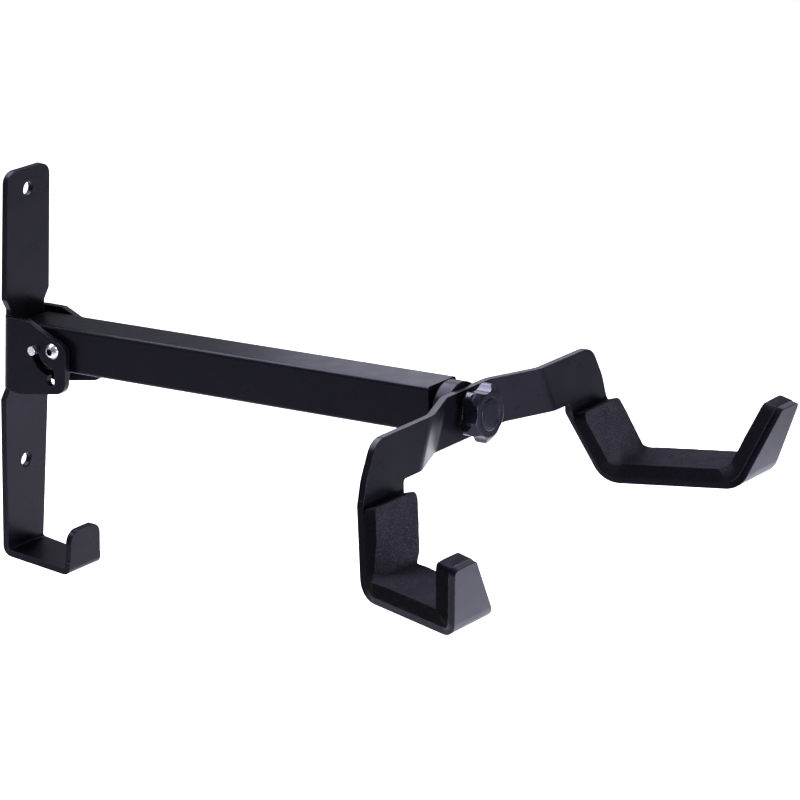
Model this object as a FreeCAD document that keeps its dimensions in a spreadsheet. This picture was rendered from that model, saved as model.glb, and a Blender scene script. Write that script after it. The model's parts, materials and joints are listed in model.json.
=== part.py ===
import FreeCAD, Part
import math
import os

# Folding wall hanger for a bicycle.  X runs along the wall, the wall is the plane Y = 0,
# the hanger reaches towards -Y, and +Z is up.  The origin is midway between the two
# wall screws.  Sizes are in millimetres.

os.makedirs("parts", exist_ok=True)
Vec = FreeCAD.Vector
doc = FreeCAD.newDocument("folding_hanger")
dims = doc.addObject("Spreadsheet::Sheet", "dims")

SIZES = [
    # wall bracket, one folded sheet
    ("sheet_thick", 6.0),
    ("strip_top", 144.0),
    ("strip_half_top", 27.8),
    ("strip_half_mid", 28.5),
    ("strip_corner", 11.0),
    ("neck_half", 22.4),
    ("neck_chamfer_top", 29.5),
    ("neck_chamfer_low", 19.5),
    ("lower_chamfer_top", -53.0),
    ("lower_chamfer_low", -62.5),
    ("lower_half_low", 23.9),
    ("fold_radius", 5.0),
    ("cheek_mid", 25.2),
    ("cheek_front", 72.4),
    ("cheek_top_rear", 14.7),
    ("cheek_top_knee", 16.2),
    ("cheek_top_front", -0.2),
    ("cheek_low_front", -41.5),
    ("cheek_low_knee", -53.4),
    ("cheek_low_rear", -51.2),
    ("screw_spacing", 250.0),
    ("screw_hole", 12.5),
    ("screw_chamfer", 0.8),
    ("shelf_low", -210.0),
    ("shelf_drop", 2.7),
    ("tip_front", 74.6),
    ("tip_top", -172.0),
    ("tip_half", 21.3),
    ("tip_corner", 11.5),
    # pivot and lock pin
    ("pivot_forward", 57.5),
    ("pivot_up", -5.5),
    ("arm_tilt", 5.0),
    ("pivot_bolt_thick", 8.0),
    ("pivot_hole", 8.2),
    ("button_head", 14.0),
    ("button_high", 4.4),
    ("socket_flats", 5.0),
    ("nut_flats", 13.0),
    ("nut_high", 7.6),
    ("washer_wide", 16.0),
    ("washer_thick", 1.6),
    ("pin_thick", 8.0),
    ("pin_reach", 20.0),
    ("pin_angle", 188.5),
    ("pin_half", 32.6),
    ("pin_slot", 8.5),
    ("fold_sweep", 78.0),
    ("slot_leg_low", -32.5),
    ("clip_wide", 13.0),
    ("clip_thick", 1.2),
    # arm, measured forward from the pivot along the tube
    ("tube_wide", 40.0),
    ("tube_wall", 2.5),
    ("tube_corner", 3.0),
    ("tube_rear", -43.0),
    ("tube_front", 392.5),
    ("sleeve_wide", 12.0),
    ("side_washer_wide", 18.0),
    ("side_washer_thick", 2.2),
    ("end_plate_thick", 6.0),
    ("clamp_drop", 1.7),
    ("disc_neck", 32.0),
    ("disc_wide", 48.0),
    ("disc_rear", 398.5),
    ("disc_front", 412.0),
    ("pad_washer_wide", 38.0),
    ("pad_washer_front", 412.9),
    ("clamp_bolt_thick", 8.0),
    ("clamp_bolt_front", 434.0),
    ("bolt_head_high", 5.3),
    ("running_gap", 0.05),
    # cradle, one folded flat bar
    ("bar_thick", 6.0),
    ("bar_top", 18.0),
    ("bar_low", -23.5),
    ("bar_hole", 8.6),
    ("bar_jog", 19.1),
    ("jog_slant", 25.2),
    ("jog_start", 36.2),
    ("jog_end", 77.8),
    ("jog_radius", 15.0),
    ("hook_top", -31.9),
    ("hook_outer", 176.2),
    ("hook_inner", 120.8),
    ("hook_lean", 0.29),
    ("hook_outer_skew", 0.366),
    ("hook_inner_skew", 0.390),
    ("shelf_skew", 0.351),
    ("shelf_front", 563.6),
    ("shelf_under", -97.2),
    ("lip_lean", 0.263),
    ("lip_top", -35.8),
    ("lip_outer_skew", 0.312),
    ("lip_inner_skew", 0.742),
    ("lip_corner", 4.0),
    ("hook_radius", 17.0),
    ("lip_radius", 12.0),
    # foam pads
    ("pad_thick", 12.0),
    ("pad_gap_top", 1.6),
    ("pad_over", 3.0),
    ("pad_inner_radius", 2.0),
    # star knob
    ("knob_lobes", 5),
    ("knob_lobe_turn", 60.0),
    ("knob_washer_wide", 24.0),
    ("knob_rear", 420.5),
    ("knob_shoulder", 425.5),
    ("knob_front", 439.5),
    ("knob_face_wide", 39.0),
    ("knob_hub", 24.0),
    ("knob_lobe_reach", 19.7),
    ("knob_lobe_radius", 6.0),
    ("knob_valley_radius", 16.0),
    ("knob_cap_wide", 27.0),
    ("knob_cap_thick", 3.4),
    ("knob_insert_wide", 13.0),
    ("knob_insert_long", 15.0),
    ("knob_bore", 8.1),
]
for row, (alias, number) in enumerate(SIZES, start=1):
    dims.set("A%d" % row, alias)
    dims.set("B%d" % row, str(number))
    dims.setAlias("B%d" % row, alias)
doc.recompute()


def val(alias):
    return float(dims.get(alias))


PIVOT = Vec(0, -val("pivot_forward"), val("pivot_up"))
ARM_FRAME = FreeCAD.Placement(PIVOT, FreeCAD.Rotation(Vec(1, 0, 0), -val("arm_tilt")))
CLAMP_SPOT = Vec(0, 0, -val("clamp_drop"))
CLAMP_FRAME = ARM_FRAME.multiply(FreeCAD.Placement(CLAMP_SPOT, FreeCAD.Rotation()))
CHEEK_OUT = val("cheek_mid") + val("sheet_thick") / 2
CHEEK_IN = val("cheek_mid") - val("sheet_thick") / 2
NODES = []


# ---------------------------------------------------------------- helpers

def keep(obj, label):
    """Make an object one of the exported parts."""
    obj.Label = label
    NODES.append(obj)
    return obj


def at(x, forward, up):
    return Vec(x, -forward, up)


def bind(obj, **formulas):
    for name, formula in formulas.items():
        obj.setExpression(name.replace("__", "."), formula)


def rod(name, diameter, length, start, axis):
    """Cylinder from start along +X ('x') or forward ('f'); sizes are formulas."""
    obj = doc.addObject("Part::Cylinder", name)
    bind(obj, Radius="(%s) / 2" % diameter, Height=length)
    turn = FreeCAD.Rotation(Vec(0, 1, 0), 90) if axis == "x" else FreeCAD.Rotation(Vec(1, 0, 0), 90)
    obj.Placement = FreeCAD.Placement(start, turn)
    return obj


def hexagon(name, flats, length, start, axis):
    obj = doc.addObject("Part::Prism", name)
    obj.Polygon = 6
    bind(obj, Circumradius="(%s) / 2 / cos(30 deg)" % flats, Height=length)
    turn = FreeCAD.Rotation(Vec(0, 1, 0), 90) if axis == "x" else FreeCAD.Rotation(Vec(1, 0, 0), 90)
    obj.Placement = FreeCAD.Placement(start, turn)
    return obj


def cut(name, base, tool):
    obj = doc.addObject("Part::Cut", name)
    obj.Base = base
    obj.Tool = tool
    return obj


def fuse(name, shapes):
    obj = doc.addObject("Part::MultiFuse", name)
    obj.Shapes = shapes
    return obj


def ring(name, outer, inner, length, start, axis):
    return cut(name, rod(name + "_solid", outer, length, start, axis),
               rod(name + "_bore", inner, length, start, axis))


def square_bar(name, width, start, stop, corner):
    """Square bar along the arm with rounded long edges."""
    box = doc.addObject("Part::Box", name + "_box")
    bind(box, Length=width, Width="%s - (%s)" % (stop, start), Height=width)
    bind(box, Placement__Base__x="-(%s) / 2" % width, Placement__Base__y="-(%s)" % stop,
         Placement__Base__z="-(%s) / 2" % width)
    doc.recompute()
    rounded = doc.addObject("Part::Fillet", name)
    rounded.Base = box
    edges = []
    for number, edge in enumerate(box.Shape.Edges, start=1):
        ends = [v.Point for v in edge.Vertexes]
        if abs(ends[0].y - ends[1].y) > 1.0:
            edges.append((number, corner, corner))
    rounded.Edges = edges
    return rounded


def coded(label, shape, placement=FreeCAD.Placement()):
    """A folded or lofted part whose shape is worked out from the sheet."""
    obj = doc.addObject("Part::Feature", label)
    obj.Shape = shape
    obj.Placement = placement
    return keep(obj, label)


def unit(p, q):
    length = math.hypot(q[0] - p[0], q[1] - p[1])
    return ((q[0] - p[0]) / length, (q[1] - p[1]) / length)


def left_of(d):
    return (-d[1], d[0])


def step(p, d, amount):
    return (p[0] + d[0] * amount, p[1] + d[1] * amount)


def bent_path(corners, radii):
    """Straight runs joined by bends; each piece is (start, end, centre or None, turn)."""
    pieces = []
    start = corners[0]
    for i, radius in enumerate(radii):
        before, corner, after = corners[i], corners[i + 1], corners[i + 2]
        a = unit(before, corner)
        b = unit(corner, after)
        turn = math.atan2(a[0] * b[1] - a[1] * b[0], a[0] * b[0] + a[1] * b[1])
        if radius == 0:
            pieces.append((start, corner, None, 0.0))
            start = corner
            continue
        back = radius * math.tan(abs(turn) / 2)
        bend_in = step(corner, a, -back)
        bend_out = step(corner, b, back)
        centre = step(bend_in, left_of(a), math.copysign(radius, turn))
        pieces.append((start, bend_in, None, 0.0))
        pieces.append((bend_in, bend_out, centre, turn))
        start = bend_out
    pieces.append((start, corners[-1], None, 0.0))
    return pieces


def about(centre, point, angle):
    """Point turned about centre by an angle in radians."""
    x, y = point[0] - centre[0], point[1] - centre[1]
    return (centre[0] + x * math.cos(angle) - y * math.sin(angle),
            centre[1] + x * math.sin(angle) + y * math.cos(angle))


def edges_of(pieces, to_space):
    """Lines and arcs of a path, placed in space by to_space(a, b)."""
    edges = []
    for start, end, centre, turn in pieces:
        if centre is None:
            edges.append(Part.makeLine(to_space(*start), to_space(*end)))
        else:
            middle = about(centre, start, turn / 2)
            edges.append(Part.Arc(to_space(*start), to_space(*middle), to_space(*end)).toShape())
    return edges


def rounded_outline(points, radii, to_space):
    """Closed face with a rounding radius at each point; the last point stays sharp."""
    loop = [points[-1]] + points + [points[0]]
    pieces = bent_path(loop[:-1], radii[:-1])
    pieces.append((pieces[-1][1], pieces[0][0], None, 0.0))
    pieces = [p for p in pieces if math.dist(p[0], p[1]) > 1e-6]
    return Part.Face(Part.Wire(Part.__sortEdges__(edges_of(pieces, to_space))))


def offset_corners(corners, amount):
    """Corners of the polyline moved to its left by amount."""
    moved = []
    for i, corner in enumerate(corners):
        d_in = unit(corners[i - 1], corner) if i > 0 else unit(corner, corners[1])
        d_out = unit(corner, corners[i + 1]) if i < len(corners) - 1 else d_in
        n_in, n_out = left_of(d_in), left_of(d_out)
        share = 1 + n_in[0] * n_out[0] + n_in[1] * n_out[1]
        moved.append((corner[0] + (n_in[0] + n_out[0]) * amount / share,
                      corner[1] + (n_in[1] + n_out[1]) * amount / share))
    return moved


def folded_face(corners, radii, thick, to_space):
    """Face of a folded sheet's section about its middle line."""
    sides = []
    for side in (1, -1):
        moved = offset_corners(corners, side * thick / 2)
        near = []
        for i, radius in enumerate(radii):
            a, b = unit(corners[i], corners[i + 1]), unit(corners[i + 1], corners[i + 2])
            turn = a[0] * b[1] - a[1] * b[0]
            near.append(radius - side * math.copysign(thick / 2, turn))
        sides.append(bent_path(moved, near))
    edges = edges_of(sides[0], to_space) + edges_of(sides[1], to_space)
    for pick in (lambda s: s[0][0], lambda s: s[-1][1]):
        edges.append(Part.makeLine(to_space(*pick(sides[0])), to_space(*pick(sides[1]))))
    return Part.Face(Part.Wire(Part.__sortEdges__(edges)))


# ---------------------------------------------------------------- wall bracket

def wall_plate_shape():
    thick = val("sheet_thick")
    half = thick / 2
    mid = val("cheek_mid")
    shelf_mid = val("shelf_low") + half
    tip_mid = val("tip_front") - half

    # side section: strip against the wall, shelf forward, tip up
    shelf_end = (tip_mid, shelf_mid - val("shelf_drop"))
    run = [(half, val("strip_top")), (half, shelf_mid), shelf_end, (tip_mid, val("tip_top"))]
    section = folded_face(run, [6.0, 4.0], thick, lambda f, z: at(-40, f, z))
    strip = section.extrude(Vec(80, 0, 0))

    front = [(val("neck_half"), val("neck_chamfer_low")), (val("strip_half_mid"), val("neck_chamfer_top")),
             (val("strip_half_top"), val("strip_top"))]
    radii = [2.0, 2.0, val("strip_corner")]
    front = front + [(-x, z) for x, z in reversed(front)]
    radii = radii + list(reversed(radii))
    low = [(-val("neck_half"), val("lower_chamfer_top")),
           (-val("strip_half_mid"), val("lower_chamfer_low")),
           (-val("lower_half_low"), val("shelf_low") - 2)]
    outline = front + low + [(-x, z) for x, z in reversed(low)]
    radii = radii + [2.0, 3.0, 0, 0, 3.0, 0]
    wall_part = rounded_outline(outline, radii, lambda x, z: at(x, -1, z)).extrude(Vec(0, -36, 0))

    shelf_half, tip_half = val("lower_half_low"), val("tip_half")
    past_tip = val("tip_front") + 1
    shelf = [(-shelf_half, 5), (shelf_half, 5), (tip_half, past_tip), (-tip_half, past_tip)]
    below = val("shelf_low") - 8
    shelf_part = Part.Face(Part.makePolygon([at(x, f, below) for x, f in shelf + shelf[:1]]))
    shelf_part = shelf_part.extrude(Vec(0, 0, thick + 11))
    tip_end = tip_half - 1.8
    tip = [(tip_half, below), (tip_end, val("tip_top")), (-tip_end, val("tip_top")), (-tip_half, below)]
    corner = val("tip_corner")
    tip_part = rounded_outline(tip, [0, corner, corner, 0], lambda x, z: at(x, 34, z))
    tip_part = tip_part.extrude(Vec(0, -50, 0))
    trimmed = strip.common(wall_part.common(Part.makeBox(80, 34, 500, Vec(-40, -33, -300))))
    strip_only = trimmed.cut(Part.makeBox(80, 40, 30, Vec(-40, -46, val("shelf_low") - 10)))
    shelf_only = strip.common(shelf_part)
    tip_only = strip.common(tip_part)
    plate = strip_only.fuse([shelf_only, tip_only])

    # the two cheeks are folded forward from the same sheet
    fold = [(-mid, 90), (-mid, half), (mid, half), (mid, 90)]
    radius = val("fold_radius")
    channel = folded_face(fold, [radius, radius], thick, lambda x, f: at(x, f, -70)).extrude(Vec(0, 0, 120))
    front_edge = val("cheek_front")
    top_rear, low_rear = val("cheek_top_rear"), val("cheek_low_rear")
    side = [(6, top_rear), (27, val("cheek_top_knee")), (front_edge, val("cheek_top_front")),
            (front_edge, val("cheek_low_front")), (20, val("cheek_low_knee")), (4, low_rear),
            (-1, low_rear), (-1, top_rear)]
    profile = rounded_outline(side, [0, 3.0, 7.0, 11.5, 12.0, 0, 0, 0], lambda f, z: at(-60, f, z))
    cheeks = channel.common(profile.extrude(Vec(120, 0, 0)))
    plate = plate.fuse(cheeks)

    # screw holes, bolt hole and the lock pin's slot
    for sign in (1, -1):
        z = sign * val("screw_spacing") / 2
        radius = val("screw_hole") / 2
        chamfer = val("screw_chamfer")
        plate = plate.cut(Part.makeCylinder(radius, 20, at(0, -5, z), Vec(0, -1, 0)))
        sink = Part.makeCone(radius, radius + chamfer, chamfer, at(0, thick - chamfer, z), Vec(0, -1, 0))
        plate = plate.cut(sink)
    plate = plate.cut(Part.makeCylinder(val("pivot_hole") / 2, 100, PIVOT - Vec(50, 0, 0), Vec(1, 0, 0)))
    plate = plate.cut(pin_slot_shape())
    return plate.removeSplitter()


def pin_slot_shape():
    """Curved slot about the pivot, ending in a short leg straight down."""
    reach = val("pin_reach")
    half = val("pin_slot") / 2
    first = math.radians(val("pin_angle"))
    last = first + math.radians(val("fold_sweep"))

    def spot(radius, angle):
        return PIVOT + at(-60, radius * math.cos(angle), radius * math.sin(angle))

    middle = (first + last) / 2
    def arc(radius):
        return Part.Arc(spot(radius, first), spot(radius, middle), spot(radius, last)).toShape()

    outer, inner = arc(reach + half), arc(reach - half)
    wire = Part.Wire([outer, Part.makeLine(spot(reach + half, last), spot(reach - half, last)), inner,
                      Part.makeLine(spot(reach - half, first), spot(reach + half, first))])
    slot = Part.Face(wire).extrude(Vec(120, 0, 0))
    end = spot(reach, last)
    low = Vec(end.x, end.y, PIVOT.z + val("slot_leg_low") + half)
    for centre in (spot(reach, first), end, low):
        slot = slot.fuse(Part.makeCylinder(half, 120, centre, Vec(1, 0, 0)))
    leg = Part.makeBox(120, 2 * half, end.z - low.z, Vec(low.x, low.y - half, low.z))
    return slot.fuse(leg).removeSplitter()


coded("wall_plate", wall_plate_shape())


# ---------------------------------------------------------------- pivot hardware

def pivot_point(x):
    return PIVOT + Vec(x, 0, 0)


head_face = -CHEEK_OUT - val("button_high")
head = rod("button_blank", "dims.button_head", "dims.button_high", pivot_point(head_face), "x")
dome = doc.addObject("Part::Sphere", "button_dome")
bind(dome, Radius="(dims.button_head ^ 2 / 4 + dims.button_high ^ 2) / (2 * dims.button_high)")
doc.recompute()
dome.Placement.Base = pivot_point(head_face + dome.Radius.Value)
rounded_head = doc.addObject("Part::MultiCommon", "button_round")
rounded_head.Shapes = [head, dome]
shank_end = CHEEK_OUT + val("washer_thick") + val("nut_high") + 1.5
shank_long = str(CHEEK_OUT + shank_end)
shank = rod("pivot_shank", "dims.pivot_bolt_thick", shank_long, pivot_point(-CHEEK_OUT), "x")
socket = hexagon("pivot_socket", "dims.socket_flats", "2.6", pivot_point(head_face), "x")
keep(cut("pivot_bolt", fuse("pivot_bolt_blank", [rounded_head, shank]), socket), "pivot_bolt")

keep(ring("nut_washer", "dims.washer_wide", "dims.pivot_hole", "dims.washer_thick",
          pivot_point(CHEEK_OUT), "x"), "nut_washer")
nut_start = pivot_point(CHEEK_OUT + val("washer_thick"))
nut_hex = hexagon("nut_hex", "dims.nut_flats", "dims.nut_high - 1.6", nut_start, "x")
nut_collar = rod("nut_collar", "dims.nut_flats - 1.2", "dims.nut_high", nut_start, "x")
nut_bore = rod("nut_bore", "dims.pivot_bolt_thick", "dims.nut_high", nut_start, "x")
keep(cut("pivot_nut", fuse("nut_blank", [nut_hex, nut_collar]), nut_bore), "pivot_nut")


# ---------------------------------------------------------------- arm

PIN_TURN = math.radians(val("pin_angle") - val("arm_tilt"))
PIN_SPOT = (val("pin_reach") * math.cos(PIN_TURN), val("pin_reach") * math.sin(PIN_TURN))


def arm_keep(obj, label, frame=ARM_FRAME):
    obj.Placement = frame
    return keep(obj, label)


corner = val("tube_corner")
outer_bar = square_bar("tube_outer", "dims.tube_wide", "dims.tube_rear", "dims.tube_front", corner)
inner_bar = square_bar("tube_inner", "(dims.tube_wide - 2 * dims.tube_wall)", "(dims.tube_rear - 1)",
                       "(dims.tube_front + 1)", corner - 1.0)
wide = val("tube_wide") / 2
hollow = cut("tube_hollow", outer_bar, inner_bar)
sleeve_hole = rod("sleeve_hole", "dims.sleeve_wide", "dims.tube_wide + 2", at(-wide - 1, 0, 0), "x")
pin_hole = rod("pin_hole", "dims.pin_thick", "dims.tube_wide + 2", at(-wide - 1, *PIN_SPOT), "x")
arm_keep(cut("arm_tube", hollow, fuse("tube_holes", [sleeve_hole, pin_hole])), "arm_tube")

arm_keep(ring("pivot_sleeve", "dims.sleeve_wide", "dims.pivot_hole", "dims.tube_wide",
              at(-wide, 0, 0), "x"), "pivot_sleeve")
arm_keep(ring("side_washer_left", "dims.side_washer_wide", "dims.pivot_hole", "dims.side_washer_thick",
              at(-CHEEK_IN, 0, 0), "x"), "side_washer_left")
arm_keep(ring("side_washer_right", "dims.side_washer_wide", "dims.pivot_hole", "dims.side_washer_thick",
              at(wide, 0, 0), "x"), "side_washer_right")

pin_length = "2 * dims.pin_half"
arm_keep(rod("lock_pin", "dims.pin_thick", pin_length, at(-val("pin_half"), *PIN_SPOT), "x"), "lock_pin")
NODES[-1].Placement = ARM_FRAME.multiply(FreeCAD.Placement(at(-val("pin_half"), *PIN_SPOT),
                                                           FreeCAD.Rotation(Vec(0, 1, 0), 90)))
for name, x in (("pin_clip_left", -wide - val("clip_thick")), ("pin_clip_right", wide)):
    arm_keep(ring(name, "dims.clip_wide", "dims.pin_thick", "dims.clip_thick", at(x, *PIN_SPOT), "x"), name)

plate_rear = "(dims.tube_front - dims.end_plate_thick)"
end_block = square_bar("end_block", "(dims.tube_wide - 2 * dims.tube_wall)", plate_rear, "dims.tube_front",
                       corner - 1.0)
plate_start = val("tube_front") - val("end_plate_thick")
bore_start = at(0, plate_start, CLAMP_SPOT.z)
end_bore = rod("end_bore", "dims.clamp_bolt_thick", "dims.end_plate_thick", bore_start, "f")
arm_keep(cut("end_plate", end_block, end_bore), "end_plate")
disc_long = "dims.disc_front - dims.tube_front"
tube_end = at(0, val("tube_front"), 0)
disc_neck = rod("disc_neck", "dims.disc_neck", disc_long, tube_end, "f")
flange_long = "dims.disc_front - dims.disc_rear"
disc_flange = rod("disc_flange", "dims.disc_wide", flange_long, at(0, val("disc_rear"), 0), "f")
disc_bore = rod("disc_bore", "dims.clamp_bolt_thick", disc_long, tube_end, "f")
disc_blank = fuse("disc_blank", [disc_neck, disc_flange])
arm_keep(cut("swivel_disc", disc_blank, disc_bore), "swivel_disc", CLAMP_FRAME)
washer_long = "dims.pad_washer_front - dims.disc_front - dims.running_gap"
arm_keep(ring("friction_washer", "dims.pad_washer_wide", "dims.bar_hole", washer_long,
              at(0, val("disc_front"), 0), "f"), "friction_washer", CLAMP_FRAME)

head_start = plate_start - val("bolt_head_high")
bolt_head = hexagon("clamp_head", "dims.nut_flats", "dims.bolt_head_high", at(0, head_start, 0), "f")
bolt_shank = rod("clamp_shank", "dims.clamp_bolt_thick", "dims.clamp_bolt_front - %s" % plate_rear,
                 at(0, plate_start, 0), "f")
arm_keep(fuse("clamp_bolt", [bolt_head, bolt_shank]), "clamp_bolt", CLAMP_FRAME)


# ---------------------------------------------------------------- cradle bar and pads

THICK = val("bar_thick")
BAR_MID = val("pad_washer_front") + THICK / 2
HOOK_MID = BAR_MID + val("bar_jog")


def hook_corners():
    """Middle line of one hook seen from the side: (forward, up) from plate to lip."""
    lean, lip = val("hook_lean"), val("lip_lean")
    half = THICK / 2
    wide_by = math.hypot(1, lean)
    top = (HOOK_MID, val("hook_top") + half * (wide_by - 1) / lean)
    shelf = val("shelf_under") + half
    down = top[1] - shelf
    back_low = (top[0] + lean * down, shelf)
    lip_shift = half * math.hypot(1, lip)
    rise = shelf - val("shelf_under")
    front_low = (val("shelf_front") + lip * rise - lip_shift, shelf)
    climb = val("lip_top") - shelf
    lip_top = (front_low[0] + lip * climb, val("lip_top"))
    return [(HOOK_MID, val("bar_low") - 3.5), top, back_low, front_low, lip_top]


HOOK = hook_corners()
HOOK_RADII = [7.0, val("hook_radius"), val("lip_radius")]
LIP_LENGTH = math.hypot(1, val("lip_lean"))


def panel_edges():
    """For each flat panel: start corner, direction, and the two edges' x and skew there."""
    skews = [(0.263, 0.0), (val("hook_outer_skew"), val("hook_inner_skew")), (val("shelf_skew"),) * 2,
             (val("lip_outer_skew") / LIP_LENGTH, val("lip_inner_skew") / LIP_LENGTH)]
    outer, inner = val("hook_outer"), val("hook_inner")
    panels = []
    for i, (outer_skew, inner_skew) in enumerate(skews):
        start, end = HOOK[i], HOOK[i + 1]
        length = math.dist(start, end)
        if i == 0:
            outer -= outer_skew * length
        panels.append((start, unit(start, end), outer, inner, outer_skew, inner_skew))
        outer += outer_skew * length
        inner += inner_skew * length
    return panels


PANELS = panel_edges()


def edges_at(panel, point):
    start, d, outer, inner, outer_skew, inner_skew = PANELS[panel]
    along = (point[0] - start[0]) * d[0] + (point[1] - start[1]) * d[1]
    return outer + outer_skew * along, inner + inner_skew * along


def strip_rows(low_side, high_side, first_panel, steps):
    """Cross rows of a skewed strip; low_side and high_side are two matching paths."""
    rows = []
    panel = first_panel
    for a, b in zip(low_side, high_side):
        if a[2] is None:
            rows.append([(a[k], b[k], edges_at(panel, a[k]), edges_at(panel, b[k])) for k in (0, 1)])
            continue
        bend = []
        from_a, to_a = edges_at(panel, a[0]), edges_at(panel + 1, a[1])
        from_b, to_b = edges_at(panel, b[0]), edges_at(panel + 1, b[1])
        for k in range(steps + 1):
            share = k / steps
            edge_a = [p + (q - p) * share for p, q in zip(from_a, to_a)]
            edge_b = [p + (q - p) * share for p, q in zip(from_b, to_b)]
            bend.append((about(a[2], a[0], a[3] * share), about(b[2], b[0], b[3] * share), edge_a, edge_b))
        rows.append(bend)
        panel += 1
    return rows


def strip_solid(rows, side, widen_inner=0.0):
    solids = []
    for run in rows:
        wires = []
        for p, q, edge_p, edge_q in run:
            loop = [at(side * edge_p[0], *p), at(side * (edge_p[1] - widen_inner), *p),
                    at(side * (edge_q[1] - widen_inner), *q), at(side * edge_q[0], *q)]
            wires.append(Part.makePolygon(loop + loop[:1]))
        solids.append(Part.makeLoft(wires, True, len(run) == 2))
    return solids


def hook_solids(side):
    low = bent_path(offset_corners(HOOK, -THICK / 2), [r + THICK / 2 for r in HOOK_RADII])
    high = bent_path(offset_corners(HOOK, THICK / 2), [r - THICK / 2 for r in HOOK_RADII])
    solids = strip_solid(strip_rows(low, high, 0, 8), side)
    tip = at(0, *HOOK[-1])
    ends = []
    for edge in solids[-1].Edges:
        middle = edge.CenterOfMass
        if math.dist((middle.y, middle.z), (tip.y, tip.z)) < 0.5 and edge.Length < 2 * THICK:
            ends.append(edge)
    solids[-1] = solids[-1].makeFillet(val("lip_corner"), ends)
    return solids


def cradle_half():
    """Right half of the bar: centre, slanted jog and outer plate."""
    slant = math.radians(val("jog_slant"))
    run = [(-70, BAR_MID), (val("jog_start"), BAR_MID), (val("jog_end"), HOOK_MID), (250, HOOK_MID)]
    reach = 120

    def along_bend(e, forward):
        x, z = e * math.cos(slant), e * math.sin(slant)
        return at(x - reach * math.sin(slant), forward, z + reach * math.cos(slant))

    radius = val("jog_radius")
    face = folded_face(run, [radius, radius], THICK, along_bend)
    sheet = face.extrude(Vec(2 * reach * math.sin(slant), 0, -2 * reach * math.cos(slant)))
    top, low, inner = val("bar_top"), val("bar_low"), val("hook_inner")
    outline = [(154.8, top - 0.6), (170.3, -11.0), (175.05, low - 4.1), (inner, low - 4.1), (inner, low),
               (-1, low), (-1, top)]
    prism = rounded_outline(outline, [18.0, 45.0, 0, 0, 3.0, 0, 0], lambda x, z: at(x, 380, z))
    return sheet.common(prism.extrude(Vec(0, -90, 0)))


def cradle_shape():
    half = cradle_half()
    pieces = [half.mirror(Vec(0, 0, 0), Vec(1, 0, 0))] + hook_solids(1) + hook_solids(-1)
    bar = half.fuse(pieces)
    hole = Part.makeCylinder(val("bar_hole") / 2, 40, at(0, 395, CLAMP_SPOT.z), Vec(0, -1, 0))
    return bar.cut(hole).removeSplitter()


coded("cradle_bar", cradle_shape(), ARM_FRAME)


def pad_shape(side):
    """Foam lining of one hook: down the back, along the shelf and up the lip."""
    gap, deep = THICK / 2, THICK / 2 + val("pad_thick")
    drop = val("pad_gap_top")
    back = unit(HOOK[1], HOOK[2])
    start = step(HOOK[1], back, drop + 1.0)
    corners = [start] + HOOK[2:]
    low_radii = [val("hook_radius") - gap, val("lip_radius") - gap]
    high_radii = [val("pad_inner_radius")] * 2
    low = bent_path(offset_corners(corners, gap), low_radii)
    high = bent_path(offset_corners(corners, deep), high_radii)
    solids = strip_solid(strip_rows(low, high, 1, 6), side, val("pad_over"))
    pad = solids[0].fuse(solids[1:])
    return pad.removeSplitter()


for label, side in (("pad_left", -1), ("pad_right", 1)):
    coded(label, pad_shape(side), ARM_FRAME)


# ---------------------------------------------------------------- star knob

def star_face(forward):
    """Lobed outline: lobes and valleys are tangent arcs."""
    reach, lobe, valley = val("knob_lobe_reach"), val("knob_lobe_radius"), val("knob_valley_radius")
    lobes = round(val("knob_lobes"))
    half_step = math.pi / lobes
    first = math.radians(val("knob_lobe_turn"))
    valley_reach = reach * math.cos(half_step)
    valley_reach += math.sqrt((lobe + valley) ** 2 - (reach * math.sin(half_step)) ** 2)

    def spot(radius, angle):
        return (radius * math.cos(angle), radius * math.sin(angle))

    edges = []
    for k in range(lobes):
        centre_angle = first + 2 * k * half_step
        lobe_centre = spot(reach, centre_angle)
        touch = []
        for sign in (-1, 1):
            valley_centre = spot(valley_reach, centre_angle + sign * half_step)
            touch.append(step(lobe_centre, unit(lobe_centre, valley_centre), lobe))
        tip = spot(reach + lobe, centre_angle)
        edges.append(Part.Arc(at(touch[0][0], forward, touch[0][1]), at(tip[0], forward, tip[1]),
                              at(touch[1][0], forward, touch[1][1])).toShape())
        next_touch = about((0, 0), touch[0], 2 * half_step)
        floor = spot(valley_reach - valley, centre_angle + half_step)
        edges.append(Part.Arc(at(touch[1][0], forward, touch[1][1]), at(floor[0], forward, floor[1]),
                              at(next_touch[0], forward, next_touch[1])).toShape())
    return Part.Face(Part.Wire(edges))


def turned(profile, radii):
    """Solid of revolution about the clamp bolt; profile is (radius, forward) pairs."""
    face = rounded_outline(profile, radii, lambda r, f: at(r, f, 0))
    return face.revolve(Vec(0, 0, 0), Vec(0, 1, 0), 360)


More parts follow.
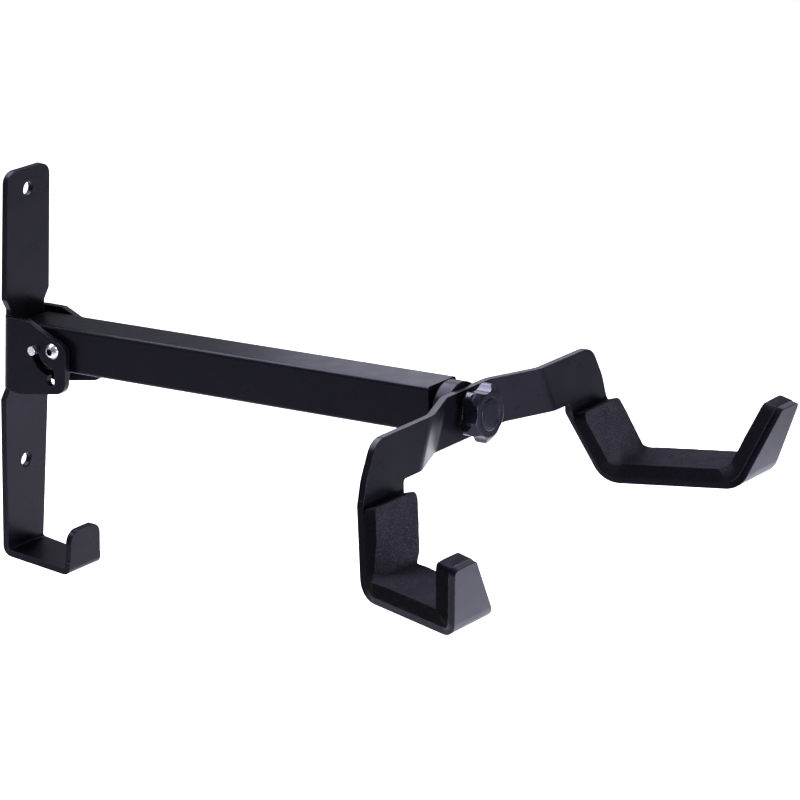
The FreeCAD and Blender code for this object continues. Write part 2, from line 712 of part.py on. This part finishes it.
def knob_shape():
    rear, shoulder, front = val("knob_rear"), val("knob_shoulder"), val("knob_front")
    rim = val("knob_lobe_reach") + val("knob_lobe_radius")
    cap = val("knob_cap_wide") / 2
    lobed = star_face(shoulder).extrude(Vec(0, shoulder - front, 0))
    rim += 0.02
    face = val("knob_face_wide") / 2
    rim_line = [(0, shoulder), (rim, shoulder), (rim, front - 5.5), (face, front), (0, front)]
    dome = turned(rim_line, [0, 3.0, 5.0, 4.0, 0])
    hub_edge, inside = val("knob_hub") / 2, shoulder + 1
    hub = turned([(0, rear), (hub_edge, rear), (hub_edge + 2, inside), (0, inside)], [0, 1.0, 0, 0])
    body = lobed.common(dome).fuse(hub)
    recess = Part.makeCylinder(cap + 0.25, 10, at(0, front - val("knob_cap_thick") + 1.0, 0), Vec(0, -1, 0))
    insert_edge = val("knob_insert_wide") / 2
    insert = Part.makeCylinder(insert_edge, val("knob_insert_long"), at(0, rear, 0), Vec(0, -1, 0))
    return body.cut(recess).cut(insert).removeSplitter()


coded("knob_body", knob_shape(), CLAMP_FRAME)

washer_long = "dims.knob_rear - dims.pad_washer_front - dims.bar_thick - 2 * dims.running_gap"
washer_start = val("pad_washer_front") + THICK + val("running_gap")
arm_keep(ring("knob_washer", "dims.knob_washer_wide", "dims.knob_bore", washer_long,
              at(0, washer_start, 0), "f"), "knob_washer", CLAMP_FRAME)
arm_keep(ring("knob_insert", "dims.knob_insert_wide", "dims.knob_bore", "dims.knob_insert_long",
              at(0, val("knob_rear"), 0), "f"), "knob_insert", CLAMP_FRAME)


def knob_cap_shape():
    start = val("knob_front") - val("knob_cap_thick") + 1.0
    edge = val("knob_cap_wide") / 2
    front = start + val("knob_cap_thick")
    return turned([(0, start), (edge, start), (edge, front - 0.4), (edge - 4, front), (0, front)],
                  [0, 0.3, 0.8, 3.0, 0])


coded("knob_cap", knob_cap_shape(), CLAMP_FRAME)


# ---------------------------------------------------------------- check and write

doc.recompute()
for obj in doc.Objects:
    bad = [state for state in obj.State if state in ("Invalid", "Error")]
    if bad:
        raise RuntimeError("%s is %s" % (obj.Label, bad))
for obj in NODES:
    shape = obj.Shape
    if shape.isNull() or not shape.isValid() or len(shape.Solids) != 1:
        raise RuntimeError("%s: valid %s, solids %d" % (obj.Label, shape.isValid(), len(shape.Solids)))
    shape.exportStep("parts/%s.step" % obj.Label)
    box = shape.BoundBox
    print("%-20s %8.1f cm3  x %7.1f %7.1f  y %7.1f %7.1f  z %7.1f %7.1f" % (
        obj.Label, shape.Volume / 1000, box.XMin, box.XMax, box.YMin, box.YMax, box.ZMin, box.ZMax))
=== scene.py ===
import json
import math
from collections import namedtuple

import bpy
import bmesh
from mathutils import Matrix, Vector, noise


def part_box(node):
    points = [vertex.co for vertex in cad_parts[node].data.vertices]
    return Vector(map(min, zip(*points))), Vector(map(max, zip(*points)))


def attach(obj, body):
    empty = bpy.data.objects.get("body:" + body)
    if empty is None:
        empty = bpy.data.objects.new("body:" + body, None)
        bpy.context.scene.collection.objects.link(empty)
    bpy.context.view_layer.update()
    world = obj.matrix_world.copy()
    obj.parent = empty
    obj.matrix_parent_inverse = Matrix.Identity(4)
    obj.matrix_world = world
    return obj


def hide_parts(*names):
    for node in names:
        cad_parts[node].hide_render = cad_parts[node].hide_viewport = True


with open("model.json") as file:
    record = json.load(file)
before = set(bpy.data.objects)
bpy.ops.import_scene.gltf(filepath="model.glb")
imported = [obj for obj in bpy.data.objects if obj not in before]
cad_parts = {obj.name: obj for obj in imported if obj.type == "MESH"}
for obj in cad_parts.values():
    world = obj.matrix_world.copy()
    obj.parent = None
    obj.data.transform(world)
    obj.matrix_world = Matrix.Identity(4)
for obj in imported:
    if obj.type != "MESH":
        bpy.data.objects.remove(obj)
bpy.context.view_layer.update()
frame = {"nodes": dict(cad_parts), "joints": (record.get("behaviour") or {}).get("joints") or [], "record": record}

# ---------------------------------------------------------------- camera

# Metres and radians, in the shared frame: +X along the wall, the arm towards -Y, +Z up.
AZIMUTH, ELEVATION, ROLL = math.radians(-55.44), math.radians(19.05), math.radians(2.30)
AIM = Vector((0.0, -0.4060, 0.0232))
DISTANCE = 3.2157
FOCAL_PIXELS, FRAME_PIXELS, SENSOR_MM = 3913.5, 800, 36.0
CLIP_NEAR, CLIP_FAR = 0.1, 30.0


def add_camera():
    back = Vector((math.sin(AZIMUTH) * math.cos(ELEVATION),
                   -math.cos(AZIMUTH) * math.cos(ELEVATION), math.sin(ELEVATION)))
    right = Vector((math.cos(AZIMUTH), math.sin(AZIMUTH), 0.0))
    up = back.cross(right)
    turned_right = right * math.cos(ROLL) + up * math.sin(ROLL)
    turned_up = up * math.cos(ROLL) - right * math.sin(ROLL)
    spot = AIM + back * DISTANCE
    data = bpy.data.cameras.new("camera")
    data.sensor_width = SENSOR_MM
    data.lens = FOCAL_PIXELS / FRAME_PIXELS * SENSOR_MM
    data.clip_start, data.clip_end = CLIP_NEAR, CLIP_FAR
    camera = bpy.data.objects.new("camera", data)
    camera.matrix_world = Matrix((
        (turned_right.x, turned_up.x, back.x, spot.x),
        (turned_right.y, turned_up.y, back.y, spot.y),
        (turned_right.z, turned_up.z, back.z, spot.z),
        (0, 0, 0, 1)))
    bpy.context.scene.collection.objects.link(camera)
    bpy.context.scene.camera = camera


add_camera()

# ---------------------------------------------------------------- light and floor

FLOOR_LEVEL, FLOOR_HALF = -0.60, 14.0
FLOOR_TONES = (0.93, 0.93, 0.93, 1), (0.96, 0.96, 0.96, 1)
FLOOR_GRAIN, FLOOR_ROUGHNESS, FLOOR_SPECULAR = 3.0, 0.95, 0.1
WORLD_COLOUR, WORLD_STRENGTH = (0.90, 0.93, 1.0, 1), 0.17
LAMP_TINT = (0.82, 0.81, 1.0)
SPOT_RADIUS = 0.5


def place_lamp(name, data, place, aim):
    lamp = bpy.data.objects.new(name, data)
    lamp.location = place
    direction = Vector(aim) - Vector(place)
    lamp.rotation_euler = direction.to_track_quat("-Z", "Y").to_euler()
    lamp.visible_camera = False
    bpy.context.scene.collection.objects.link(lamp)


def add_area(name, place, aim, size, power):
    data = bpy.data.lights.new(name, "AREA")
    data.shape = "RECTANGLE"
    data.size, data.size_y = size
    data.energy = power
    data.color = LAMP_TINT
    place_lamp(name, data, place, aim)


def add_spot(name, place, aim, degrees, soft, power):
    data = bpy.data.lights.new(name, "SPOT")
    data.spot_size = math.radians(degrees)
    data.spot_blend = soft
    data.shadow_soft_size = SPOT_RADIUS
    data.energy = power
    place_lamp(name, data, place, aim)


def add_floor():
    bm = bmesh.new()
    corners = [(-FLOOR_HALF, -FLOOR_HALF), (FLOOR_HALF, -FLOOR_HALF),
               (FLOOR_HALF, FLOOR_HALF), (-FLOOR_HALF, FLOOR_HALF)]
    bm.faces.new([bm.verts.new((x, y, FLOOR_LEVEL)) for x, y in corners])
    mesh = bpy.data.meshes.new("floor")
    bm.to_mesh(mesh)
    bm.free()
    floor = bpy.data.objects.new("floor", mesh)
    bpy.context.scene.collection.objects.link(floor)
    mat = bpy.data.materials.new("pale_floor")
    mat.use_nodes = True
    tree = mat.node_tree
    shader = tree.nodes["Principled BSDF"]
    shader.inputs["Roughness"].default_value = FLOOR_ROUGHNESS
    shader.inputs["Specular IOR Level"].default_value = FLOOR_SPECULAR
    grain = tree.nodes.new("ShaderNodeTexNoise")
    grain.inputs["Scale"].default_value = FLOOR_GRAIN
    ramp = tree.nodes.new("ShaderNodeValToRGB")
    for element, tone in zip(ramp.color_ramp.elements, FLOOR_TONES):
        element.color = tone
    tree.links.new(grain.outputs["Fac"], ramp.inputs["Fac"])
    tree.links.new(ramp.outputs["Color"], shader.inputs["Base Color"])
    mesh.materials.append(mat)


def add_world():
    world = bpy.data.worlds.new("studio")
    bpy.context.scene.world = world
    world.use_nodes = True
    background = world.node_tree.nodes["Background"]
    background.inputs["Color"].default_value = WORLD_COLOUR
    background.inputs["Strength"].default_value = WORLD_STRENGTH


add_floor()
add_world()
bpy.context.scene.view_settings.view_transform = "Standard"

# Name, place, aim, size (metres) and power (watts).
add_area("top_softbox", (-0.3, -1.6, 1.8), (0.0, -0.48, 0.0), (1.2, 0.6), 13)
add_area("rear_softbox", (0.10, 0.95, 1.8), (0.0, -0.4, 0.0), (2.6, 0.9), 95)
add_area("right_softbox", (1.35, 0.25, 0.62), (0.0, -0.45, 0.0), (0.9, 0.5), 4.5)
add_area("left_softbox", (-1.5, 1.4, 0.7), (0.0, -0.3, 0.0), (1.0, 0.9), 2.5)
add_area("front_softbox", (-0.1, -3.1, 0.10), (0.0, -0.45, 0.0), (1.0, 0.8), 80)
add_area("low_reflector", (0.56, -0.80, -0.41), (0.56, -0.75, 0.30), (0.75, 0.20), 1.4)
# Whitens the floor that the camera sees behind the object.
add_spot("backdrop_light", (1.95, 1.0, 6.4), (1.95, 1.0, FLOOR_LEVEL), degrees=36, soft=0.3, power=2700)

# ---------------------------------------------------------------- materials

# Sizes in metres. A noise scale is in features per metre.
SPECULAR_TINT = (0.82, 0.77, 1.0, 1)
EDGE_COSINE = 0.9                      # true and rounded normals this far apart: fully an edge
SOFT, FIRM = (0.3, 0.7), (0.35, 0.65)  # how sharply noise turns into patches
MIX_A, MIX_B, MIX_RESULT = 6, 7, 2     # the colour sockets of a Mix node
# Tones of painted shade: the foam's cell pits, the foam's sides and the screw's hexagon socket.
PORE_SHADE_TONE, SIDE_SHADE_TONE, SOCKET_SHADE_TONE = (0.003, 0.003, 0.004), (0.0034, 0.0032, 0.0040), (0.02, 0.02, 0.022)
SOCKET_FLATS, SOCKET_SQUEEZE = 0.0056, (0.35, 1, 1)
SOCKET_RIM, SOCKET_WALL = 0.60, 0.50   # shares of the width across flats


class Finish:
    """A procedural material: base tone, roughness and bump in object space."""

    def __init__(self, name, metallic=0.0, specular=0.5):
        self.mat = bpy.data.materials.new(name)
        self.mat.use_nodes = True
        self.tree = self.mat.node_tree
        self.shader = self.tree.nodes["Principled BSDF"]
        self.shader.inputs["Metallic"].default_value = metallic
        self.shader.inputs["Specular IOR Level"].default_value = specular
        if not metallic:
            self.shader.inputs["Specular Tint"].default_value = SPECULAR_TINT
        coordinates = self.node("ShaderNodeTexCoord")
        self.place, self.facing = coordinates.outputs["Object"], coordinates.outputs["Normal"]
        self.normal = None

    def node(self, kind, **settings):
        made = self.tree.nodes.new(kind)
        for key, value in settings.items():
            setattr(made, key, value)
        return made

    def link(self, source, target):
        self.tree.links.new(source, target)

    def noise(self, scale, detail=3.0, stretch=None):
        made = self.node("ShaderNodeTexNoise")
        made.inputs["Scale"].default_value = scale
        made.inputs["Detail"].default_value = detail
        source = self.place
        if stretch:
            mapping = self.node("ShaderNodeMapping")
            mapping.inputs["Scale"].default_value = stretch
            self.link(source, mapping.inputs["Vector"])
            source = mapping.outputs["Vector"]
        self.link(source, made.inputs["Vector"])
        return made.outputs["Fac"]

    def cells(self, scale):
        made = self.node("ShaderNodeTexVoronoi")
        made.inputs["Scale"].default_value = scale
        self.link(self.place, made.inputs["Vector"])
        return made.outputs["Distance"]

    def remap(self, value, source, target=(0.0, 1.0)):
        made = self.node("ShaderNodeMapRange")
        for key, number in zip(("From Min", "From Max", "To Min", "To Max"), (*source, *target)):
            made.inputs[key].default_value = number
        self.link(value, made.inputs["Value"])
        return made.outputs["Result"]

    def patches(self, scale, contrast, levels=(0.0, 1.0), detail=3.0):
        """Noise spread between two levels."""
        return self.remap(self.noise(scale, detail), contrast, levels)

    def math(self, operation, a, b=0.0):
        made = self.node("ShaderNodeMath", operation=operation)
        for socket, value in zip(made.inputs, (a, b)):
            if isinstance(value, (int, float)):
                socket.default_value = value
            else:
                self.link(value, socket)
        return made.outputs["Value"]

    def vector_math(self, operation, a, b=None, output="Vector"):
        made = self.node("ShaderNodeVectorMath", operation=operation)
        self.link(a, made.inputs[0])
        if isinstance(b, tuple):
            made.inputs[1].default_value = b
        elif b is not None:
            self.link(b, made.inputs[1])
        return made.outputs[output]

    def blend(self, share, a, b):
        made = self.node("ShaderNodeMix", data_type="RGBA")
        self.link(share, made.inputs["Factor"])
        for socket, value in ((made.inputs[MIX_A], a), (made.inputs[MIX_B], b)):
            if isinstance(value, tuple):
                socket.default_value = value + (1,)
            else:
                self.link(value, socket)
        return made.outputs[MIX_RESULT]

    def edges(self, radius):
        """Rounds sharp edges in shading and returns how near a point is to an edge."""
        bevel = self.node("ShaderNodeBevel", samples=6)
        bevel.inputs["Radius"].default_value = radius
        self.normal = bevel.outputs["Normal"]
        surface = self.node("ShaderNodeNewGeometry").outputs["Normal"]
        cosine = self.vector_math("DOT_PRODUCT", self.normal, surface, output="Value")
        return self.remap(cosine, (1.0, EDGE_COSINE))

    def bump(self, height, strength, distance):
        made = self.node("ShaderNodeBump")
        made.inputs["Strength"].default_value = strength
        made.inputs["Distance"].default_value = distance
        self.link(height, made.inputs["Height"])
        if self.normal is not None:
            self.link(self.normal, made.inputs["Normal"])
        self.normal = made.outputs["Normal"]

    def done(self, colour, roughness):
        self.link(colour, self.shader.inputs["Base Color"])
        self.link(roughness, self.shader.inputs["Roughness"])
        if self.normal is not None:
            self.link(self.normal, self.shader.inputs["Normal"])
        return self.mat


def powder_coat():
    """Satin black powder coat: fine orange peel, faint mottling, pale specks, rubbed edges."""
    f = Finish("black_powder_coat", specular=0.13)
    edge = f.edges(radius=0.0011)
    rubbed = f.math("MULTIPLY", edge, f.patches(160.0, (0.35, 0.75), levels=(0.15, 1.0)))
    mottling = f.patches(22.0, FIRM)
    tone = f.blend(mottling, (0.0032, 0.0032, 0.0046), (0.0054, 0.0053, 0.0074))
    speck = f.patches(1500.0, (0.55, 0.78), levels=(0.0, 0.35), detail=1.0)
    tone = f.blend(speck, tone, (0.020, 0.020, 0.026))
    colour = f.blend(rubbed, tone, (0.040, 0.040, 0.048))
    fine_peel = f.math("MULTIPLY", f.noise(2400.0, detail=1.0), 0.35)
    peel = f.math("ADD", f.noise(700.0, detail=2.0), fine_peel)
    f.bump(peel, strength=0.09, distance=0.0001)
    satin = f.patches(60.0, SOFT, levels=(0.27, 0.34))
    return f.done(colour, f.math("ADD", satin, f.math("MULTIPLY", edge, -0.06)))


def zinc(name, dark, light, rough):
    """Plated steel, spring steel or brass with a fine turned grain and dull patches."""
    f = Finish(name, metallic=1.0)
    edge = f.edges(radius=0.0005)
    colour = f.blend(f.patches(260.0, SOFT), dark, light)
    polished = tuple(min(1.0, c * 1.25) for c in light)
    colour = f.blend(f.math("MULTIPLY", edge, 0.6), colour, polished)
    turned_grain = f.noise(900.0, detail=2.0, stretch=(0.15, 1.0, 1.0))
    f.bump(turned_grain, strength=0.25, distance=0.00008)
    return f.done(colour, f.patches(500.0, SOFT, levels=(rough, rough + 0.12)))


def socket_head(node, flats):
    """Zinc-plated screw whose hexagon socket is painted dark as shade."""
    f = Finish(node + "_zinc", metallic=1.0)
    f.edges(radius=0.0004)
    low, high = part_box(node)
    centre = (Vector(low) + Vector(high)) / 2
    offset = f.vector_math("SUBTRACT", f.place, (low[0], centre.y, centre.z))
    squeezed = f.vector_math("MULTIPLY", offset, SOCKET_SQUEEZE)
    reach = f.vector_math("LENGTH", squeezed, output="Value")
    # Painted shade darkens the hexagon socket.
    socket_shade = f.remap(reach, (flats * SOCKET_RIM, flats * SOCKET_WALL))
    colour = f.blend(f.patches(420.0, SOFT), (0.72, 0.72, 0.74), (0.92, 0.92, 0.94))
    colour = f.blend(socket_shade, colour, SOCKET_SHADE_TONE)
    f.bump(f.noise(900.0, detail=2.0), strength=0.2, distance=0.00006)
    return f.done(colour, f.patches(500.0, SOFT, levels=(0.22, 0.34)))


def moulded(name, dark, light, rough, specular, grain, wear=(0.035, 0.035, 0.04)):
    """Moulded black plastic or rubber with a spark-eroded texture."""
    f = Finish(name, specular=specular)
    edge = f.edges(radius=0.0008)
    colour = f.blend(f.patches(35.0, FIRM), dark, light)
    worn = f.math("MULTIPLY", edge, f.patches(220.0, SOFT, levels=(0.1, 0.8)))
    colour = f.blend(worn, colour, wear)
    pits = f.math("MULTIPLY", f.cells(grain * 1.4), 0.4)
    f.bump(f.math("ADD", f.noise(grain, detail=2.0), pits), strength=0.22, distance=0.0001)
    return f.done(colour, f.patches(90.0, SOFT, levels=(rough - 0.04, rough + 0.06)))


def foam():
    """Closed-cell foam: bumped open cells and pale flecks on the broad faces; painted shade darkens the cell pits
    and the sides that face along the wall.
    """
    f = Finish("black_foam", specular=0.05)
    cell = f.cells(760.0)
    cloud = f.patches(55.0, (0.32, 0.68), detail=4.0)
    skin = f.blend(cloud, (0.0145, 0.0135, 0.0160), (0.0245, 0.0228, 0.0268))
    fleck = f.patches(1350.0, (0.54, 0.69), levels=(0.0, 0.8), detail=2.0)
    skin = f.blend(fleck, skin, (0.072, 0.068, 0.079))
    # Painted shade: the cell pits, which are dips in the bump, are darkened.
    pore_shade = f.remap(cell, (0.05, 0.40), (1.0, 0.0))
    skin = f.blend(f.math("MULTIPLY", pore_shade, 0.85), skin, PORE_SHADE_TONE)
    # Painted shade: faces turned along the wall (±X) are darkened.
    axes = f.node("ShaderNodeSeparateXYZ")
    f.link(f.facing, axes.inputs["Vector"])
    side_shade = f.remap(f.math("ABSOLUTE", axes.outputs["X"]), (0.25, 0.65), (0.0, 0.90))
    colour = f.blend(side_shade, skin, SIDE_SHADE_TONE)
    f.bump(f.math("ADD", f.math("MULTIPLY", cell, 0.8), f.noise(700.0)), strength=0.8, distance=0.0006)
    return f.done(colour, f.remap(cloud, (0.0, 1.0), (0.86, 0.97)))


MATERIALS = {
    "black_powder_coat": powder_coat(),
    "zinc_steel": zinc("zinc_steel", (0.70, 0.71, 0.73), (0.90, 0.91, 0.93), rough=0.24),
    "spring_steel": zinc("spring_steel", (0.10, 0.10, 0.11), (0.20, 0.20, 0.21), rough=0.34),
    "brass_insert": zinc("brass_insert", (0.50, 0.36, 0.14), (0.72, 0.55, 0.24), rough=0.28),
    "black_nylon": moulded("black_nylon", (0.008, 0.008, 0.009), (0.014, 0.014, 0.015),
                           rough=0.46, specular=0.4, grain=1200.0),
    "black_rubber": moulded("black_rubber", (0.010, 0.010, 0.011), (0.018, 0.018, 0.019),
                            rough=0.72, specular=0.3, grain=900.0),
    "black_knob_plastic": moulded("black_knob_plastic", (0.006, 0.006, 0.009), (0.010, 0.010, 0.014),
                                  rough=0.22, specular=0.32, grain=1000.0, wear=(0.030, 0.030, 0.038)),
    "black_foam": foam(),
}


def paint_nodes():
    """Each node takes the finish its material slot in the record names; the pivot screw has its own."""
    for part in frame["record"]["subparts"]:
        for holder in frame["nodes"][part["node"]].material_slots:
            holder.material = MATERIALS[part["material_slot"]]
    for holder in frame["nodes"]["pivot_bolt"].material_slots:
        holder.material = socket_head("pivot_bolt", SOCKET_FLATS)


paint_nodes()

# ---------------------------------------------------------------- foam pads

# Millimetres from here on. The hook's middle line is seen from the side, as (forward, up) from
# the arm's pivot. The edges are the bar's two sides along the wall at each corner of that line.
HOOK_LINE = [Vector((435.7, -34.0)), Vector((453.2, -94.2)), Vector((561.3, -94.2)), Vector((576.6, -35.8))]
OUTER_EDGE = [177.1, 200.1, 238.0, 256.3]
INNER_EDGE = [121.8, 146.3, 184.2, 227.5]
STEEL_HALF, FOAM_THICK, OVERHANG = 3.0, 12.0, 3.0
STEEL_BENDS, FOAM_BENDS, BEND_STEPS = (14.0, 9.0), (6.0, 4.0), 10
# By side, -1 left and 1 right: how far the outer edge sags and bulges at the first bend.
SINK, BULGE, SINK_REACH = {-1: 3.4, 1: 0.6}, {-1: 0.6, 1: 0.1}, 26.0
SWELL, CROWN = 0.15, 0.25
EDGE_ROUND, OUTER_CORNER, INNER_BACK_CORNER, INNER_LIP_CORNER = 1.1, 4.0, 9.0, 5.0
FINE_STOPS = [0.0, 0.15, 0.4, 0.8, 1.3, 2.0, 3.0, 4.2, 5.6, 7.2, 9.0, 11.0]
STOP_SPACING, STOP_GAP = 2.6, 1.2
BASE_STEPS, SIDE_STEPS, TOP_STEPS, TURN_DEGREES = 6, 5, 30, (0, 30, 60, 90)
SKIN_WAVES, EDGE_WAVE, SKIN_DEPTH = ((0.09, 0.32), (0.33, 0.14)), (0.21, 0.22), 4.0
FAR = 99.0                             # a distance to an end or bend that this section isn't near
METRES = 0.001

Station = namedtuple("Station", "steel free steel_edges free_edges to_back to_bend to_lip")


def arm_axes():
    joints = {joint["name"]: joint for joint in frame["joints"]}
    pivot = Vector(joints["arm_fold"]["pos_m"])
    along = Vector(joints["cradle_tilt"]["axis"]).normalized()
    return pivot, along, along.cross(Vector((1, 0, 0)))


def left_normal(d):
    return Vector((-d.y, d.x))


def offset_line(corners, amount):
    moved = []
    for i, corner in enumerate(corners):
        before = (corner - corners[i - 1]).normalized() if i else (corners[1] - corner).normalized()
        after = (corners[i + 1] - corner).normalized() if i < len(corners) - 1 else before
        a, b = left_normal(before), left_normal(after)
        moved.append(corner + (a + b) * amount / (1 + a.dot(b)))
    return moved


def bend_points(before, corner, after, radius):
    a, b = (corner - before).normalized(), (after - corner).normalized()
    turn = math.atan2(a.x * b.y - a.y * b.x, a.dot(b))
    start = corner - a * radius * math.tan(abs(turn) / 2)
    centre = start + left_normal(a) * math.copysign(radius, turn)
    return [centre + Matrix.Rotation(turn * k / BEND_STEPS, 2) @ (start - centre)
            for k in range(BEND_STEPS + 1)]


def foam_face(offset, radii):
    """The three straight runs and the two bends of one face of the foam."""
    line = offset_line(HOOK_LINE, offset)
    first, second = (bend_points(*line[i:i + 3], radii[i]) for i in (0, 1))
    return [(line[0], first[0]), (first[-1], second[0]), (second[-1], line[3])], [first, second]


def edges_at(panel, point):
    start, end = HOOK_LINE[panel], HOOK_LINE[panel + 1]
    share = (point - start).dot(end - start) / (end - start).length_squared
    return [edge[panel] + (edge[panel + 1] - edge[panel]) * share for edge in (OUTER_EDGE, INNER_EDGE)]


def mixed(a, b, share):
    return [p + (q - p) * share for p, q in zip(a, b)]


def straight_stops(length, fine_start, fine_end):
    """Distances along a run, close together near a free end."""
    stops = set(FINE_STOPS if fine_start else [0.0])
    stops |= {length - d for d in FINE_STOPS} if fine_end else {length}
    steps = round(length / STOP_SPACING)
    for k in range(1, steps):
        d = length * k / steps
        if min(abs(d - other) for other in stops) > STOP_GAP:
            stops.add(d)
    return sorted(stops)


def foam_stations():
    """Cross sections of a lining, from its back end to its lip."""
    steel_runs, steel_bends = foam_face(STEEL_HALF, STEEL_BENDS)
    free_runs, free_bends = foam_face(STEEL_HALF + FOAM_THICK, FOAM_BENDS)
    stations = []
    for panel, (steel_run, free_run) in enumerate(zip(steel_runs, free_runs)):
        length = (free_run[1] - free_run[0]).length
        for d in straight_stops(length, panel == 0, panel == 2):
            steel, free = (run[0].lerp(run[1], d / length) for run in (steel_run, free_run))
            stations.append(Station(
                steel, free, edges_at(panel, steel), edges_at(panel, free),
                to_back=d if panel == 0 else FAR,
                to_bend=(length - d, d, FAR)[panel],
                to_lip=length - d if panel == 2 else FAR))
        if panel == 2:
            break
        bends = steel_bends[panel], free_bends[panel]
        for k in range(1, BEND_STEPS):
            edges = [mixed(edges_at(panel, bend[0]), edges_at(panel + 1, bend[-1]), k / BEND_STEPS)
                     for bend in bends]
            stations.append(Station(bends[0][k], bends[1][k], *edges,
                                    to_back=FAR, to_bend=0.0 if panel == 0 else FAR, to_lip=FAR))
    return stations


def round_off(distance, radius):
    """How far an edge draws in at this distance from a free end, for a rounded corner."""
    if distance >= radius:
        return 0.0
    return radius - math.sqrt(radius ** 2 - (radius - distance) ** 2)


def foam_ring(station, side):
    """One closed section of a lining as (x, point) pairs, starting along the steel."""
    to_back, to_lip = station.to_back, station.to_lip
    near = max(0.0, 1.0 - station.to_bend / SINK_REACH)
    near = near * near * (3 - 2 * near)  # eased, so that the sag starts and ends smoothly
    thick = (station.free - station.steel).length
    draw_outer = round_off(to_back, OUTER_CORNER) + round_off(to_lip, OUTER_CORNER)
    draw_inner = round_off(to_back, INNER_BACK_CORNER) + round_off(to_lip, INNER_LIP_CORNER)
    level = 1.0 - (round_off(to_back, EDGE_ROUND) + round_off(to_lip, EDGE_ROUND)) / thick

    def edge(share, inner):
        value = mixed(station.steel_edges, station.free_edges, share)[1 if inner else 0]
        arch = math.sin(math.pi * min(share, 1.0))
        if inner:
            return value - OVERHANG + draw_inner - SWELL * arch
        return value - draw_outer + (SWELL + BULGE[side] * near) * arch

    def spot(share, x):
        inner, outer = edge(1.0, True), edge(1.0, False)
        sink = SINK[side] * near * share * min(1.0, max(0.0, (x - inner) / (outer - inner)))
        return (x, station.steel.lerp(station.free, share * level) - Vector((sink, 0.0)))

    def turned(degrees, inner):
        """A point on the rounded edge between a side and the crown."""
        angle = math.radians(degrees)
        inward = EDGE_ROUND * (1 - math.cos(angle))
        return spot(top + (1 - top) * math.sin(angle), edge(top, inner) + (inward if inner else -inward))

    top = 1.0 - EDGE_ROUND / thick
    sides = [top * k / SIDE_STEPS for k in range(SIDE_STEPS)]
    base_outer, base_inner = edge(0.0, False), edge(0.0, True)
    ring = [spot(0.0, base_outer + (base_inner - base_outer) * k / BASE_STEPS) for k in range(BASE_STEPS)]
    ring += [spot(share, edge(share, True)) for share in sides]
    ring += [turned(degrees, True) for degrees in TURN_DEGREES]
    inner, outer = edge(top, True) + EDGE_ROUND, edge(top, False) - EDGE_ROUND
    for k in range(1, TOP_STEPS):
        crown = CROWN * math.sin(math.pi * k / TOP_STEPS) / thick
        ring.append(spot(1.0 + crown, inner + (outer - inner) * k / TOP_STEPS))
    ring += [turned(degrees, False) for degrees in reversed(TURN_DEGREES)]
    ring += [spot(share, edge(share, False)) for share in reversed(sides[1:])]
    return ring


def uneven(point, scale, amount):
    return noise.noise(point * scale) * amount


def foam_pad(name, node, side):
    """Closed foam lining with soft edges, rounded ends and an uneven skin, in its node's place."""
    pivot, along, upward = arm_axes()
    bm = bmesh.new()
    rings = []
    for station in foam_stations():
        rise = (station.free - station.steel).normalized()
        ring = []
        for x, point in foam_ring(station, side):
            place = Vector((side * x, point.x, point.y))
            skin = sum(uneven(place, scale, amount) for scale, amount in SKIN_WAVES)
            lift = min(1.0, max(0.0, (point - station.steel).dot(rise) / SKIN_DEPTH))
            point = point + rise * skin * lift
            x += uneven(place, *EDGE_WAVE)
            spot = pivot + (along * point.x + upward * point.y + Vector((side * x, 0, 0))) * METRES
            ring.append(bm.verts.new(spot))
        rings.append(ring)
    for a, b in zip(rings, rings[1:]):
        for i in range(len(a)):
            j = (i + 1) % len(a)
            bm.faces.new((a[i], a[j], b[j], b[i]))
    bm.faces.new(rings[0])
    bm.faces.new(list(reversed(rings[-1])))
    # Only the two end faces have more than four corners.
    bmesh.ops.triangulate(bm, faces=[face for face in bm.faces if len(face.verts) > 4])
    bmesh.ops.recalc_face_normals(bm, faces=bm.faces)
    # The lining's foremost and lowest points meet those of the CAD lining.
    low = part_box(node)[0]
    shift = Vector((0, low[1] - min(v.co.y for v in bm.verts), low[2] - min(v.co.z for v in bm.verts)))
    bmesh.ops.translate(bm, vec=shift, verts=bm.verts)
    for face in bm.faces:
        face.smooth = True
    mesh = bpy.data.meshes.new(name)
    bm.to_mesh(mesh)
    bm.free()
    mesh.materials.append(MATERIALS["black_foam"])
    pad = bpy.data.objects.new(name, mesh)
    bpy.context.scene.collection.objects.link(pad)
    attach(pad, "cradle")
    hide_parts(node)


foam_pad("foam_lining_left", "pad_left", -1)
foam_pad("foam_lining_right", "pad_right", 1)
